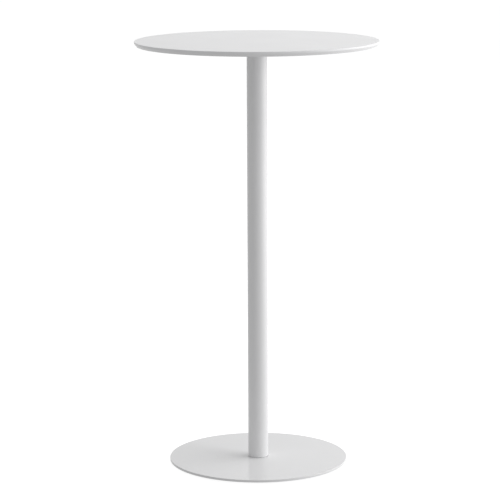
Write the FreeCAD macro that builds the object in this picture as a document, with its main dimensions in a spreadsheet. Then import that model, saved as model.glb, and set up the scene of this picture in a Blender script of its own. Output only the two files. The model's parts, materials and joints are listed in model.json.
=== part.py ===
# Bar-height cocktail table: a thin round lacquered panel on one slim steel column,
# which stands on a flat steel disc with four levelling glides screwed into its underside.
# Millimetres, +Z up, origin on the floor under the middle of the column.
# The column is held between two plates by countersunk bolts. Each bolt screws into a plug
# that is fixed in the tube's end, and two dowels beside it stop the column from turning.
import FreeCAD, Part
import Sketcher
import math
import os

# Driving dimensions: alias, value, and what it measures.
SIZES = [
    ("table_height", 1060, "floor to the upper face, with the glides screwed right in"),
    ("panel_diameter", 600, "round table top"),
    ("panel_thickness", 12, "table top"),
    ("panel_land", 4.5, "upright part of the panel's edge, under its upper face"),
    ("panel_bevel", 6, "how far the edge draws in below the upright part"),
    ("panel_arris", 0.8, "rounding of the panel's upper edge"),
    ("panel_skin", 3.5, "panel left above the threaded inserts"),
    ("flange_diameter", 220, "steel disc under the panel"),
    ("flange_thickness", 8, "steel disc under the panel"),
    ("flange_margin", 20, "from the flange's rim to its screws"),
    ("flange_arris", 1, "chamfer on the flange's lower rim"),
    ("column_diameter", 50, "outside of the tube"),
    ("column_wall", 2, "wall of the tube"),
    ("column_deburr", 0.6, "chamfer on the tube's outer ends"),
    ("shadow_gap", 2, "how far the plugs stand out of the tube, so that it touches neither plate"),
    ("base_diameter", 445, "steel disc on the floor"),
    ("base_thickness", 6, "steel disc on the floor"),
    ("base_arris", 0.8, "rounding of the base's upper edge"),
    ("base_deburr", 0.8, "chamfer on the base's lower edge"),
    ("plug_length", 20, "plug in each end of the tube"),
    ("bolt_diameter", 10, "countersunk bolt at each end of the column"),
    ("bolt_head", 20, "diameter of the bolt's countersunk head"),
    ("bolt_length", 25, "countersunk bolt, over its head"),
    ("bolt_socket", 6, "hexagon socket in the bolt, across flats"),
    ("bolt_socket_depth", 4, "hexagon socket in the bolt"),
    ("bolt_clearance", 0.5, "bolt in the plates, on the radius"),
    ("dowel_diameter", 6, "dowel between plug and plate"),
    ("dowel_length", 10, "dowel between plug and plate"),
    ("screw_diameter", 6, "screw through the flange into the panel"),
    ("screw_head", 10.5, "diameter of the screw's head"),
    ("screw_head_height", 3.3, "screw through the flange"),
    ("screw_head_rim", 1.1, "upright rim of the screw's head"),
    ("screw_crown", 7.2, "flat end of the screw's head"),
    ("screw_socket", 4, "hexagon socket in the screw, across flats"),
    ("screw_socket_depth", 2, "hexagon socket in the screw"),
    ("screw_clearance", 0.5, "screw in the flange, on the radius"),
    ("washer_diameter", 12, "washer under the screw's head"),
    ("washer_thickness", 1.6, "washer under the screw's head"),
    ("insert_diameter", 10, "threaded insert in the panel"),
    ("glide_margin", 42.5, "from the base's rim to the middle of a glide"),
    ("pad_diameter", 30, "foot of a glide"),
    ("pad_sole", 1.2, "foot of a glide, under the stud's flange"),
    ("pad_lip", 0.8, "lip of the foot that holds the stud's flange down"),
    ("pad_chamfer", 0.6, "edges of the foot"),
    ("stud_diameter", 8, "threaded stud of a glide"),
    ("stud_flange", 15, "diameter of the stud's flange, which turns inside the foot"),
    ("stud_flange_thickness", 1, "flange of the stud"),
    ("stud_collar", 10, "hexagon collar of the stud, across flats"),
    ("spanner_gap", 1.7, "collar that shows between foot and base, with the glides screwed right in"),
    ("stud_skin", 1.2, "base left above the holes for the studs"),
    ("thread_clearance", 0.1, "between a thread and its hole, on the radius"),
    ("fit_clearance", 0.02, "between pressed-in pieces and their holes, on the radius"),
    ("end_clearance", 0.5, "between the end of a pin, stud or insert and the bottom of its hole"),
    ("socket_clearance", 0.3, "round the stud's flange and collar inside the foot"),
]
SCREW_COUNT = 6
DOWEL_COUNT = 2
GLIDE_COUNT = 4
GLIDE_START = 45.0  # degrees from +X to the first glide
HEXAGON = 6
EPSILON = 1e-4  # how near an edge lies to where it is looked for

doc = FreeCAD.newDocument("cocktail_table")


class Length:
    """A length in millimetres, together with the spreadsheet expression that gives it."""

    def __init__(self, value, text):
        self.value = value
        self.text = text

    def __add__(self, other):
        return Length(self.value + other.value, f"({self.text} + {other.text})")

    def __sub__(self, other):
        return Length(self.value - other.value, f"({self.text} - {other.text})")

    def __mul__(self, factor):
        return Length(self.value * factor, f"({self.text} * {factor})")

    def __truediv__(self, divisor):
        return Length(self.value / divisor, f"({self.text} / {divisor})")


def fill_sheet():
    """Writes the driving dimensions to the spreadsheet and returns them as lengths."""
    sheet = doc.addObject("Spreadsheet::Sheet", "sizes")
    lengths = {}
    for row, (alias, value, note) in enumerate(SIZES, start=1):
        sheet.set(f"A{row}", alias)
        sheet.set(f"B{row}", str(value))
        sheet.set(f"C{row}", note)
        sheet.setAlias(f"B{row}", alias)
        lengths[alias] = Length(value, f"sizes.{alias}")
    doc.recompute()
    return lengths


SIZE = fill_sheet()
ZERO = Length(0, "0")

# Levels above the floor, with the glides screwed right in.
STUD_FLANGE_TOP = SIZE["pad_sole"] + SIZE["stud_flange_thickness"]
LIP_BOTTOM = STUD_FLANGE_TOP + SIZE["socket_clearance"]
PAD_TOP = LIP_BOTTOM + SIZE["pad_lip"]
BASE_BOTTOM = PAD_TOP + SIZE["spanner_gap"]
BASE_TOP = BASE_BOTTOM + SIZE["base_thickness"]
PANEL_TOP = SIZE["table_height"]
PANEL_BOTTOM = PANEL_TOP - SIZE["panel_thickness"]
FLANGE_BOTTOM = PANEL_BOTTOM - SIZE["flange_thickness"]
TUBE_BOTTOM = BASE_TOP + SIZE["shadow_gap"]
TUBE_TOP = FLANGE_BOTTOM - SIZE["shadow_gap"]

# Radii of the round pieces, and of the circles that the small ones lie on.
PANEL_RADIUS = SIZE["panel_diameter"] / 2
FLANGE_RADIUS = SIZE["flange_diameter"] / 2
TUBE_RADIUS = SIZE["column_diameter"] / 2
BORE_RADIUS = TUBE_RADIUS - SIZE["column_wall"]
PLUG_RADIUS = BORE_RADIUS - SIZE["fit_clearance"]
BASE_RADIUS = SIZE["base_diameter"] / 2
BOLT_RADIUS = SIZE["bolt_diameter"] / 2
BOLT_HOLE = BOLT_RADIUS + SIZE["bolt_clearance"]
COUNTERSINK = SIZE["bolt_head"] / 2 + SIZE["fit_clearance"]
COUNTERSINK_DEPTH = COUNTERSINK - BOLT_HOLE
SCREW_RADIUS = SIZE["screw_diameter"] / 2
INSERT_RADIUS = SIZE["insert_diameter"] / 2
DOWEL_RADIUS = SIZE["dowel_diameter"] / 2
STUD_RADIUS = SIZE["stud_diameter"] / 2
SCREW_CIRCLE = FLANGE_RADIUS - SIZE["flange_margin"]
DOWEL_CIRCLE = (BOLT_RADIUS + PLUG_RADIUS) / 2
GLIDE_CIRCLE = BASE_RADIUS - SIZE["glide_margin"]


def hexagon_radius(across_flats):
    """Distance from a hexagon's middle to its corners."""
    return across_flats / (2 * math.cos(math.pi / HEXAGON))


# Building blocks: a body, its sketches and its features.


def new_body(label, turned=0.0):
    """A body of the given label, turned about Z by so many degrees."""
    body = doc.addObject("PartDesign::Body", label)
    body.Label = label
    body.Placement = FreeCAD.Placement(
        FreeCAD.Vector(0, 0, 0), FreeCAD.Rotation(FreeCAD.Vector(0, 0, 1), turned)
    )
    return body


def origin_feature(body, role):
    return next(part for part in body.Origin.OriginFeatures if part.Role == role)


def new_sketch(body, name, plane, level=ZERO):
    """A sketch on one of the body's origin planes, or that far along the plane's normal."""
    sketch = body.newObject("Sketcher::SketchObject", f"{body.Name}_{name}")
    sketch.AttachmentSupport = [(origin_feature(body, plane), "")]
    sketch.MapMode = "FlatFace"
    sketch.setExpression("AttachmentOffset.Base.z", level.text)
    return sketch


def bind(sketch, constraint, length):
    """Adds a dimension to a sketch and ties it to the spreadsheet."""
    index = sketch.addConstraint(constraint)
    sketch.setExpression(f"Constraints[{index}]", length.text)


def place_point(sketch, line, end, x, y):
    """Holds one end of a line at a place, by its distances from the sketch's two axes."""
    horizontal_axis, vertical_axis, origin = -1, -2, (-1, 1)
    if x is ZERO:
        sketch.addConstraint(Sketcher.Constraint("PointOnObject", line, end, vertical_axis))
    else:
        bind(sketch, Sketcher.Constraint("DistanceX", *origin, line, end, x.value), x)
    if y is ZERO:
        sketch.addConstraint(Sketcher.Constraint("PointOnObject", line, end, horizontal_axis))
    else:
        bind(sketch, Sketcher.Constraint("DistanceY", *origin, line, end, y.value), y)


def draw_profile(body, name, corners, axis=ZERO):
    """Half of a turned piece's section: corners are (radius from the axis, height) pairs.

    The axis is upright, at that distance from Z, and is drawn where it isn't Z itself."""
    sketch = new_sketch(body, name, "XZ_Plane")
    if axis is ZERO:
        points = list(corners)
    else:
        points = [(axis if radius is ZERO else axis + radius, height) for radius, height in corners]
    for (x1, y1), (x2, y2) in zip(points, points[1:] + points[:1]):
        start = FreeCAD.Vector(x1.value, y1.value, 0)
        end = FreeCAD.Vector(x2.value, y2.value, 0)
        sketch.addGeometry(Part.LineSegment(start, end), False)
    for line, (x, y) in enumerate(points):
        previous = (line - 1) % len(points)
        sketch.addConstraint(Sketcher.Constraint("Coincident", previous, 2, line, 1))
        place_point(sketch, line, 1, x, y)
    if axis is not ZERO:
        foot = FreeCAD.Vector(axis.value, 0, 0)
        head = FreeCAD.Vector(axis.value, PANEL_TOP.value, 0)
        turning_line = sketch.addGeometry(Part.LineSegment(foot, head), True)
        place_point(sketch, turning_line, 1, axis, ZERO)
        place_point(sketch, turning_line, 2, axis, PANEL_TOP)
    return sketch


def turn(body, name, corners, axis=ZERO):
    """A turned solid."""
    sketch = draw_profile(body, f"{name}_profile", corners, axis)
    feature = body.newObject("PartDesign::Revolution", f"{body.Name}_{name}")
    feature.Profile = sketch
    feature.ReferenceAxis = (sketch, ["V_Axis" if axis is ZERO else "Axis0"])
    feature.Angle = 360
    doc.recompute()
    return feature


def drill(body, name, x, y, radius, level, depth, upwards):
    """A round blind hole whose mouth is at that level."""
    before = body.Shape.Volume
    sketch = new_sketch(body, f"{name}_circle", "XY_Plane", level)
    centre = FreeCAD.Vector(x.value, y.value, 0)
    circle = sketch.addGeometry(Part.Circle(centre, FreeCAD.Vector(0, 0, 1), radius.value), False)
    place_point(sketch, circle, 3, x, y)
    bind(sketch, Sketcher.Constraint("Radius", circle, radius.value), radius)
    pocket = body.newObject("PartDesign::Pocket", f"{body.Name}_{name}")
    pocket.Profile = sketch
    pocket.setExpression("Length", depth.text)
    pocket.Reversed = upwards
    doc.recompute()
    if not pocket.Shape.Volume < before:
        raise RuntimeError(f"{pocket.Name} cuts nothing")
    return pocket


def add_hexagon(body, name, across_flats, level, height, axis=ZERO, cut=False):
    """A hexagonal collar, or a hexagonal socket where cut is set, from a level upwards."""
    before = body.Shape.Volume
    sketch = new_sketch(body, f"{name}_hexagon", "XY_Plane", level)
    corner_radius = hexagon_radius(across_flats)
    middle = FreeCAD.Vector(axis.value, 0, 0)
    corners = []
    for step in range(HEXAGON):
        angle = math.tau * step / HEXAGON
        outwards = FreeCAD.Vector(math.cos(angle), math.sin(angle), 0)
        corners.append(middle + outwards * corner_radius.value)
    for start, end in zip(corners, corners[1:] + corners[:1]):
        sketch.addGeometry(Part.LineSegment(start, end), False)
    circle = sketch.addGeometry(Part.Circle(middle, FreeCAD.Vector(0, 0, 1), corner_radius.value), True)
    place_point(sketch, circle, 3, axis, ZERO)
    bind(sketch, Sketcher.Constraint("Radius", circle, corner_radius.value), corner_radius)
    for line in range(HEXAGON):
        sketch.addConstraint(Sketcher.Constraint("Coincident", line, 2, (line + 1) % HEXAGON, 1))
        sketch.addConstraint(Sketcher.Constraint("PointOnObject", line, 1, circle))
        if line:
            sketch.addConstraint(Sketcher.Constraint("Equal", 0, line))
    sketch.addConstraint(Sketcher.Constraint("PointOnObject", 0, 1, -1))
    feature = body.newObject("PartDesign::Pocket" if cut else "PartDesign::Pad", f"{body.Name}_{name}")
    feature.Profile = sketch
    feature.setExpression("Length", height.text)
    feature.Reversed = cut
    doc.recompute()
    if cut and not feature.Shape.Volume < before:
        raise RuntimeError(f"{feature.Name} cuts nothing")
    return feature


def repeat_round(body, name, features, count):
    """Repeats features evenly round Z."""
    pattern = body.newObject("PartDesign::PolarPattern", f"{body.Name}_{name}")
    pattern.Originals = features
    pattern.Axis = (origin_feature(body, "Z_Axis"), [""])
    pattern.Angle = 360
    pattern.Occurrences = count
    body.Tip = pattern
    doc.recompute()
    return pattern


def round_edges(feature, level, radius):
    """Names of a feature's circular edges of that radius at that level."""
    names = []
    for number, edge in enumerate(feature.Shape.Edges, start=1):
        circle = edge.Curve
        if not isinstance(circle, Part.Circle):
            continue
        at_level = abs(circle.Center.z - level.value) < EPSILON
        if at_level and abs(circle.Radius - radius.value) < EPSILON:
            names.append(f"Edge{number}")
    if not names:
        raise RuntimeError(f"{feature.Name} has no round edge at {level.value}")
    return names


def dress_edge(body, name, level, radius, size, kind):
    """A Fillet or Chamfer of that size on the body's round edge at a level."""
    base = body.Tip
    dressing = body.newObject(f"PartDesign::{kind}", f"{body.Name}_{name}")
    dressing.Base = (base, round_edges(base, level, radius))
    dressing.setExpression("Radius" if kind == "Fillet" else "Size", size.text)
    doc.recompute()
    return dressing


# Table top, the inserts in it, and the flange that it is screwed to.

INSERT_HOLE_DEPTH = SIZE["panel_thickness"] - SIZE["panel_skin"]
INSERT_LENGTH = INSERT_HOLE_DEPTH - SIZE["end_clearance"]


def make_table_top():
    body = new_body("table_top")
    land_bottom = PANEL_TOP - SIZE["panel_land"]
    underside_radius = PANEL_RADIUS - SIZE["panel_bevel"]
    turn(body, "disc", [
        (ZERO, PANEL_BOTTOM),
        (underside_radius, PANEL_BOTTOM),
        (PANEL_RADIUS, land_bottom),
        (PANEL_RADIUS, PANEL_TOP),
        (ZERO, PANEL_TOP),
    ])
    dress_edge(body, "upper_arris", PANEL_TOP, PANEL_RADIUS, SIZE["panel_arris"], "Fillet")
    hole_radius = INSERT_RADIUS + SIZE["fit_clearance"]
    hole = drill(body, "insert_hole", SCREW_CIRCLE, ZERO, hole_radius, PANEL_BOTTOM,
                 INSERT_HOLE_DEPTH, upwards=True)
    repeat_round(body, "insert_holes", [hole], SCREW_COUNT)
    return body


def make_top_inserts():
    body = new_body("top_inserts")
    bore = SCREW_RADIUS + SIZE["thread_clearance"]
    sleeve = turn(body, "sleeve", [
        (bore, PANEL_BOTTOM),
        (INSERT_RADIUS, PANEL_BOTTOM),
        (INSERT_RADIUS, PANEL_BOTTOM + INSERT_LENGTH),
        (bore, PANEL_BOTTOM + INSERT_LENGTH),
    ], axis=SCREW_CIRCLE)
    repeat_round(body, "sleeves", [sleeve], SCREW_COUNT)
    return body


def make_top_flange():
    body = new_body("top_flange")
    turn(body, "disc", [
        (BOLT_HOLE, FLANGE_BOTTOM),
        (FLANGE_RADIUS, FLANGE_BOTTOM),
        (FLANGE_RADIUS, PANEL_BOTTOM),
        (COUNTERSINK, PANEL_BOTTOM),
        (BOLT_HOLE, PANEL_BOTTOM - COUNTERSINK_DEPTH),
    ])
    dress_edge(body, "lower_arris", FLANGE_BOTTOM, FLANGE_RADIUS, SIZE["flange_arris"], "Chamfer")
    dowel_hole = drill(body, "dowel_hole", DOWEL_CIRCLE, ZERO, DOWEL_RADIUS + SIZE["fit_clearance"],
                       FLANGE_BOTTOM, SIZE["flange_thickness"] / 2, upwards=True)
    repeat_round(body, "dowel_holes", [dowel_hole], DOWEL_COUNT)
    screw_hole = drill(body, "screw_hole", SCREW_CIRCLE, ZERO, SCREW_RADIUS + SIZE["screw_clearance"],
                       FLANGE_BOTTOM, SIZE["flange_thickness"], upwards=True)
    repeat_round(body, "screw_holes", [screw_hole], SCREW_COUNT)
    return body


def make_flange_washers():
    body = new_body("flange_washers")
    bore = SCREW_RADIUS + SIZE["screw_clearance"]
    rim = SIZE["washer_diameter"] / 2
    under = FLANGE_BOTTOM - SIZE["washer_thickness"]
    ring = turn(body, "ring", [
        (bore, under),
        (rim, under),
        (rim, FLANGE_BOTTOM),
        (bore, FLANGE_BOTTOM),
    ], axis=SCREW_CIRCLE)
    repeat_round(body, "rings", [ring], SCREW_COUNT)
    return body


def make_flange_screws():
    """Six button-head screws. Each runs through washer and flange almost to the end of its insert."""
    body = new_body("flange_screws")
    seat = FLANGE_BOTTOM - SIZE["washer_thickness"]
    crown = seat - SIZE["screw_head_height"]
    head_radius = SIZE["screw_head"] / 2
    tip = PANEL_BOTTOM + INSERT_LENGTH - SIZE["end_clearance"]
    screw = turn(body, "shank_and_head", [
        (ZERO, crown),
        (SIZE["screw_crown"] / 2, crown),
        (head_radius, seat - SIZE["screw_head_rim"]),
        (head_radius, seat),
        (SCREW_RADIUS, seat),
        (SCREW_RADIUS, tip),
        (ZERO, tip),
    ], axis=SCREW_CIRCLE)
    socket = add_hexagon(body, "socket", SIZE["screw_socket"], crown, SIZE["screw_socket_depth"],
                         axis=SCREW_CIRCLE, cut=True)
    repeat_round(body, "screws", [screw, socket], SCREW_COUNT)
    return body


# Column: the tube, the plugs in its ends, and the bolts and dowels that hold it to the plates.


def make_column_tube():
    body = new_body("column_tube")
    turn(body, "tube", [
        (BORE_RADIUS, TUBE_BOTTOM),
        (TUBE_RADIUS, TUBE_BOTTOM),
        (TUBE_RADIUS, TUBE_TOP),
        (BORE_RADIUS, TUBE_TOP),
    ])
    dress_edge(body, "lower_deburr", TUBE_BOTTOM, TUBE_RADIUS, SIZE["column_deburr"], "Chamfer")
    dress_edge(body, "upper_deburr", TUBE_TOP, TUBE_RADIUS, SIZE["column_deburr"], "Chamfer")
    return body


def make_plug(label, seat, inwards, plate_thickness):
    """A tapped plug that seats on a plate at that level. Inwards is 1 for up into the tube, -1 for down."""
    body = new_body(label)
    bore = BOLT_RADIUS + SIZE["thread_clearance"]
    far_end = seat + SIZE["plug_length"] * inwards
    turn(body, "disc", [
        (bore, seat),
        (PLUG_RADIUS, seat),
        (PLUG_RADIUS, far_end),
        (bore, far_end),
    ])
    depth = SIZE["dowel_length"] - plate_thickness / 2 + SIZE["end_clearance"]
    hole = drill(body, "dowel_hole", DOWEL_CIRCLE, ZERO, DOWEL_RADIUS + SIZE["fit_clearance"],
                 seat, depth, upwards=inwards > 0)
    repeat_round(body, "dowel_holes", [hole], DOWEL_COUNT)
    return body


def make_bolt(label, face, inwards):
    """A countersunk bolt whose head is flush with a face. Inwards is the way it screws in: 1 up, -1 down."""
    body = new_body(label)
    head_radius = SIZE["bolt_head"] / 2
    neck = face + (head_radius - BOLT_RADIUS) * inwards
    tip = face + SIZE["bolt_length"] * inwards
    turn(body, "shank_and_head", [
        (ZERO, face),
        (head_radius, face),
        (BOLT_RADIUS, neck),
        (BOLT_RADIUS, tip),
        (ZERO, tip),
    ])
    socket_level = face if inwards > 0 else face - SIZE["bolt_socket_depth"]
    add_hexagon(body, "socket", SIZE["bolt_socket"], socket_level, SIZE["bolt_socket_depth"], cut=True)
    return body


def make_dowels(label, seat, inwards, plate_thickness):
    """Two dowels, half the plate's thickness deep in it and the rest in the plug."""
    body = new_body(label)
    outer_end = seat - plate_thickness / 2 * inwards
    inner_end = outer_end + SIZE["dowel_length"] * inwards
    pin = turn(body, "pin", [
        (ZERO, outer_end),
        (DOWEL_RADIUS, outer_end),
        (DOWEL_RADIUS, inner_end),
        (ZERO, inner_end),
    ], axis=DOWEL_CIRCLE)
    repeat_round(body, "pins", [pin], DOWEL_COUNT)
    return body


# Base disc and its levelling glides.


def make_base_plate():
    body = new_body("base_plate")
    turn(body, "disc", [
        (COUNTERSINK, BASE_BOTTOM),
        (BASE_RADIUS, BASE_BOTTOM),
        (BASE_RADIUS, BASE_TOP),
        (BOLT_HOLE, BASE_TOP),
        (BOLT_HOLE, BASE_BOTTOM + COUNTERSINK_DEPTH),
    ])
    dress_edge(body, "upper_arris", BASE_TOP, BASE_RADIUS, SIZE["base_arris"], "Fillet")
    dress_edge(body, "lower_deburr", BASE_BOTTOM, BASE_RADIUS, SIZE["base_deburr"], "Chamfer")
    dowel_hole = drill(body, "dowel_hole", DOWEL_CIRCLE, ZERO, DOWEL_RADIUS + SIZE["fit_clearance"],
                       BASE_TOP, SIZE["base_thickness"] / 2, upwards=False)
    repeat_round(body, "dowel_holes", [dowel_hole], DOWEL_COUNT)
    start = math.radians(GLIDE_START)
    stud_hole = drill(body, "stud_hole", GLIDE_CIRCLE * math.cos(start), GLIDE_CIRCLE * math.sin(start),
                      STUD_RADIUS + SIZE["thread_clearance"], BASE_BOTTOM,
                      SIZE["base_thickness"] - SIZE["stud_skin"], upwards=True)
    repeat_round(body, "stud_holes", [stud_hole], GLIDE_COUNT)
    return body


def make_glide_pad(number, angle):
    """The foot of a glide: a round pad with a socket, whose lip keeps the stud's flange in."""
    body = new_body(f"glide_pad_{number}", angle)
    rim = SIZE["pad_diameter"] / 2
    chamfer = SIZE["pad_chamfer"]
    socket = SIZE["stud_flange"] / 2 + SIZE["socket_clearance"]
    mouth = hexagon_radius(SIZE["stud_collar"]) + SIZE["socket_clearance"]
    turn(body, "foot", [
        (ZERO, ZERO),
        (rim - chamfer, ZERO),
        (rim, chamfer),
        (rim, PAD_TOP - chamfer),
        (rim - chamfer, PAD_TOP),
        (mouth, PAD_TOP),
        (mouth, LIP_BOTTOM),
        (socket, LIP_BOTTOM),
        (socket, SIZE["pad_sole"]),
        (ZERO, SIZE["pad_sole"]),
    ], axis=GLIDE_CIRCLE)
    return body


def make_glide_stud(number, angle):
    """The screw of a glide: a flange that turns in the foot, a spanner collar and the stud."""
    body = new_body(f"glide_stud_{number}", angle)
    flange = SIZE["stud_flange"] / 2
    tip = BASE_TOP - SIZE["stud_skin"] - SIZE["end_clearance"]
    turn(body, "flange_and_stud", [
        (ZERO, SIZE["pad_sole"]),
        (flange, SIZE["pad_sole"]),
        (flange, STUD_FLANGE_TOP),
        (STUD_RADIUS, STUD_FLANGE_TOP),
        (STUD_RADIUS, tip),
        (ZERO, tip),
    ], axis=GLIDE_CIRCLE)
    add_hexagon(body, "collar", SIZE["stud_collar"], STUD_FLANGE_TOP, BASE_BOTTOM - STUD_FLANGE_TOP,
                axis=GLIDE_CIRCLE)
    return body


def make_table():
    """Every piece of the table, from the top down."""
    pieces = [
        make_table_top(),
        make_top_inserts(),
        make_top_flange(),
        make_flange_washers(),
        make_flange_screws(),
        make_bolt("flange_bolt", PANEL_BOTTOM, -1),
        make_dowels("flange_dowels", FLANGE_BOTTOM, -1, SIZE["flange_thickness"]),
        make_plug("column_top_plug", FLANGE_BOTTOM, -1, SIZE["flange_thickness"]),
        make_column_tube(),
        make_plug("column_bottom_plug", BASE_TOP, 1, SIZE["base_thickness"]),
        make_dowels("base_dowels", BASE_TOP, 1, SIZE["base_thickness"]),
        make_bolt("base_bolt", BASE_BOTTOM, 1),
        make_base_plate(),
    ]
    for number in range(1, GLIDE_COUNT + 1):
        angle = GLIDE_START + 360 / GLIDE_COUNT * (number - 1)
        pieces.append(make_glide_pad(number, angle))
        pieces.append(make_glide_stud(number, angle))
    return pieces


def check(pieces):
    """Stops if any object of the document failed, or a piece isn't made of sound solids."""
    for item in doc.Objects:
        if "Invalid" in item.State or "Error" in item.State:
            raise RuntimeError(f"{item.Name} failed: {item.State}")
    for piece in pieces:
        if piece.Shape.isNull() or not piece.Shape.isValid() or not piece.Shape.Solids:
            raise RuntimeError(f"{piece.Label} is not a sound solid")


def export(pieces):
    os.makedirs("parts", exist_ok=True)
    for piece in pieces:
        piece.Shape.exportStep(f"parts/{piece.Label}.step")
        print(piece.Label, len(piece.Shape.Solids), "solids", round(piece.Shape.Volume / 1000, 2), "cm3")


table = make_table()
doc.recompute()
check(table)
export(table)
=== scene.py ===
"""Looks of the bar-height cocktail table.

The table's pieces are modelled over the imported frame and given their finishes, and a plain studio
and the camera are set up. Lengths are in metres, in the frame's axes: +Z is up and the floor is Z = 0.
"""

import json
import logging
import math
from abc import ABC, abstractmethod
from contextlib import contextmanager
from dataclasses import dataclass
from enum import Enum
from typing import Any, Callable, Dict, Iterator, List, Optional, Sequence, Tuple, Union

import bmesh
import bpy
from mathutils import Matrix, Vector


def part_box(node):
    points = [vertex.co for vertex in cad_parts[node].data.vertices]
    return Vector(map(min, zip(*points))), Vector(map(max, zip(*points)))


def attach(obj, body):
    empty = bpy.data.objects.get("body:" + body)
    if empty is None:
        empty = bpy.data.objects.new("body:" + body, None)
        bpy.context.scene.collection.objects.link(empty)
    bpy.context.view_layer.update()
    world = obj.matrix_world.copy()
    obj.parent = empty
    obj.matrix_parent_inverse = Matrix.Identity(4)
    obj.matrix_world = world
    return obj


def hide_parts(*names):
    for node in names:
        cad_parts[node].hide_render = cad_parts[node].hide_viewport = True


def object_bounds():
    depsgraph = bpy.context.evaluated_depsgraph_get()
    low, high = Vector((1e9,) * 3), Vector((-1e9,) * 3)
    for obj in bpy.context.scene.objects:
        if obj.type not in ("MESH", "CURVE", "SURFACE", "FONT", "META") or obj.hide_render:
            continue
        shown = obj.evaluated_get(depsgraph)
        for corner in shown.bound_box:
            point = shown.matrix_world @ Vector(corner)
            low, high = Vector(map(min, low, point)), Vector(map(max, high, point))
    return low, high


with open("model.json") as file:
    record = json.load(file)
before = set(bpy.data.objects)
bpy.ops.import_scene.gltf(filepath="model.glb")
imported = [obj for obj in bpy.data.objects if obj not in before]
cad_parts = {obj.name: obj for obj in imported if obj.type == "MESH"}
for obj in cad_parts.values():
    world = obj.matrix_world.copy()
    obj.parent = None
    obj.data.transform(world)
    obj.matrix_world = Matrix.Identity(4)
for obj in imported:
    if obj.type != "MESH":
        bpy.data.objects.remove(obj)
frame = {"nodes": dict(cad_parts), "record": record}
cad_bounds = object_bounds()

log = logging.getLogger("cocktail_table")

MM = 0.001
NEAR = 0.002 * MM  # how near a vertex lies to the place where it is looked for
OVERCUT = 1 * MM  # how far a cutting tool stands out of what it cuts
SLIVER = 0.01 * MM  # edges that a cut leaves shorter than this are dissolved
SMOOTH_ANGLE = math.radians(30)  # edges that turn by less are shaded smooth
HEXAGON = 6
OWN_PLACE = "own_place"  # attribute: a point's place measured from the axis of its own fastener

Piece = bpy.types.Object
Pieces = Dict[str, Piece]  # modelled pieces, by the nodes that they stand for
Output = bpy.types.NodeSocket
Station = Tuple[float, float]  # radius and level of one ring of a turned piece
Colour = Tuple[float, float, float]


class Slot(Enum):
    """The record's material slots."""

    LACQUER = "white_lacquer"
    POWDER_COAT = "white_powder_coat"
    ZINC = "zinc_steel"
    BRASS = "brass_insert"
    NYLON = "nylon_foot"


class Marks(Enum):
    """Which tool marks a metal piece shows, by where they are measured from."""

    TURNED = "axis of each fastener"
    DRAWN = "whole table"


class Joining(Enum):
    """How a tool changes a piece."""

    CUT = "DIFFERENCE"
    WELD = "UNION"
    KEEP_COMMON = "INTERSECT"


class Socket(Enum):
    """The kinds of socket that the shared effects use."""

    VALUE = "NodeSocketFloat"
    COLOUR = "NodeSocketColor"
    VECTOR = "NodeSocketVector"


class Mixture(Enum):
    """What a mix node mixes."""

    VALUES = "FLOAT"
    COLOURS = "RGBA"


# Modelling by hand: selecting, turning, rounding, cutting and copying.


@dataclass(frozen=True)
class Rounding:
    """How an edge is rounded: how far it reaches along each face, and the number of faces across it."""

    width: float
    steps: int


@dataclass(frozen=True)
class HexagonSocket:
    """The socket in a fastener's head."""

    across_flats: float
    depth: float


def take(piece: Piece) -> None:
    """Makes a piece the only selected object and the active one.

    Args:
        piece: The object to take.
    """
    bpy.ops.object.select_all(action="DESELECT")
    piece.select_set(True)
    bpy.context.view_layer.objects.active = piece


def name_piece(piece: Piece, name: str) -> None:
    """Names an object and its mesh."""
    piece.name = name
    piece.data.name = name


@contextmanager
def editing(piece: Piece, wanted: Callable[[Vector], bool]) -> Iterator[None]:
    """Opens a piece's mesh with the edges and faces selected whose corners are all wanted.

    Args:
        piece: The object to edit.
        wanted: Tells from a vertex's place whether it is selected.

    Yields:
        Nothing. The mesh is open until the end of the block.
    """
    take(piece)
    bpy.ops.object.mode_set(mode="EDIT")
    bpy.ops.mesh.select_mode(type="VERT")
    bpy.ops.mesh.select_all(action="DESELECT")
    mesh = bmesh.from_edit_mesh(piece.data)
    for vertex in mesh.verts:
        vertex.select_set(wanted(vertex.co))
    mesh.select_flush_mode()
    bmesh.update_edit_mesh(piece.data)
    yield
    bpy.ops.object.mode_set(mode="OBJECT")


def everywhere(place: Vector) -> bool:
    """A test that every vertex passes."""
    return True


def on_ring(radius: float, level: float) -> Callable[[Vector], bool]:
    """A test for the vertices of one ring round the Z axis.

    Args:
        radius: Radius of the ring.
        level: Height of the ring.

    Returns:
        A function that tells from a vertex's place whether it is on the ring.
    """

    def wanted(place: Vector) -> bool:
        """True on the ring."""
        return abs(place.z - level) < NEAR and abs(math.hypot(place.x, place.y) - radius) < NEAR

    return wanted


def close_pole() -> None:
    """Draws the selected ring together to one point in its middle."""
    bpy.ops.mesh.extrude_region_move()
    bpy.ops.mesh.merge(type="CENTER")


def turn_outwards(piece: Piece) -> None:
    """Merges a closed mesh's doubles and points its faces outwards.

    Args:
        piece: The closed object.
    """
    with editing(piece, everywhere):
        bpy.ops.mesh.remove_doubles(threshold=NEAR / 2)
        bpy.ops.mesh.normals_make_consistent(inside=False)


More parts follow.
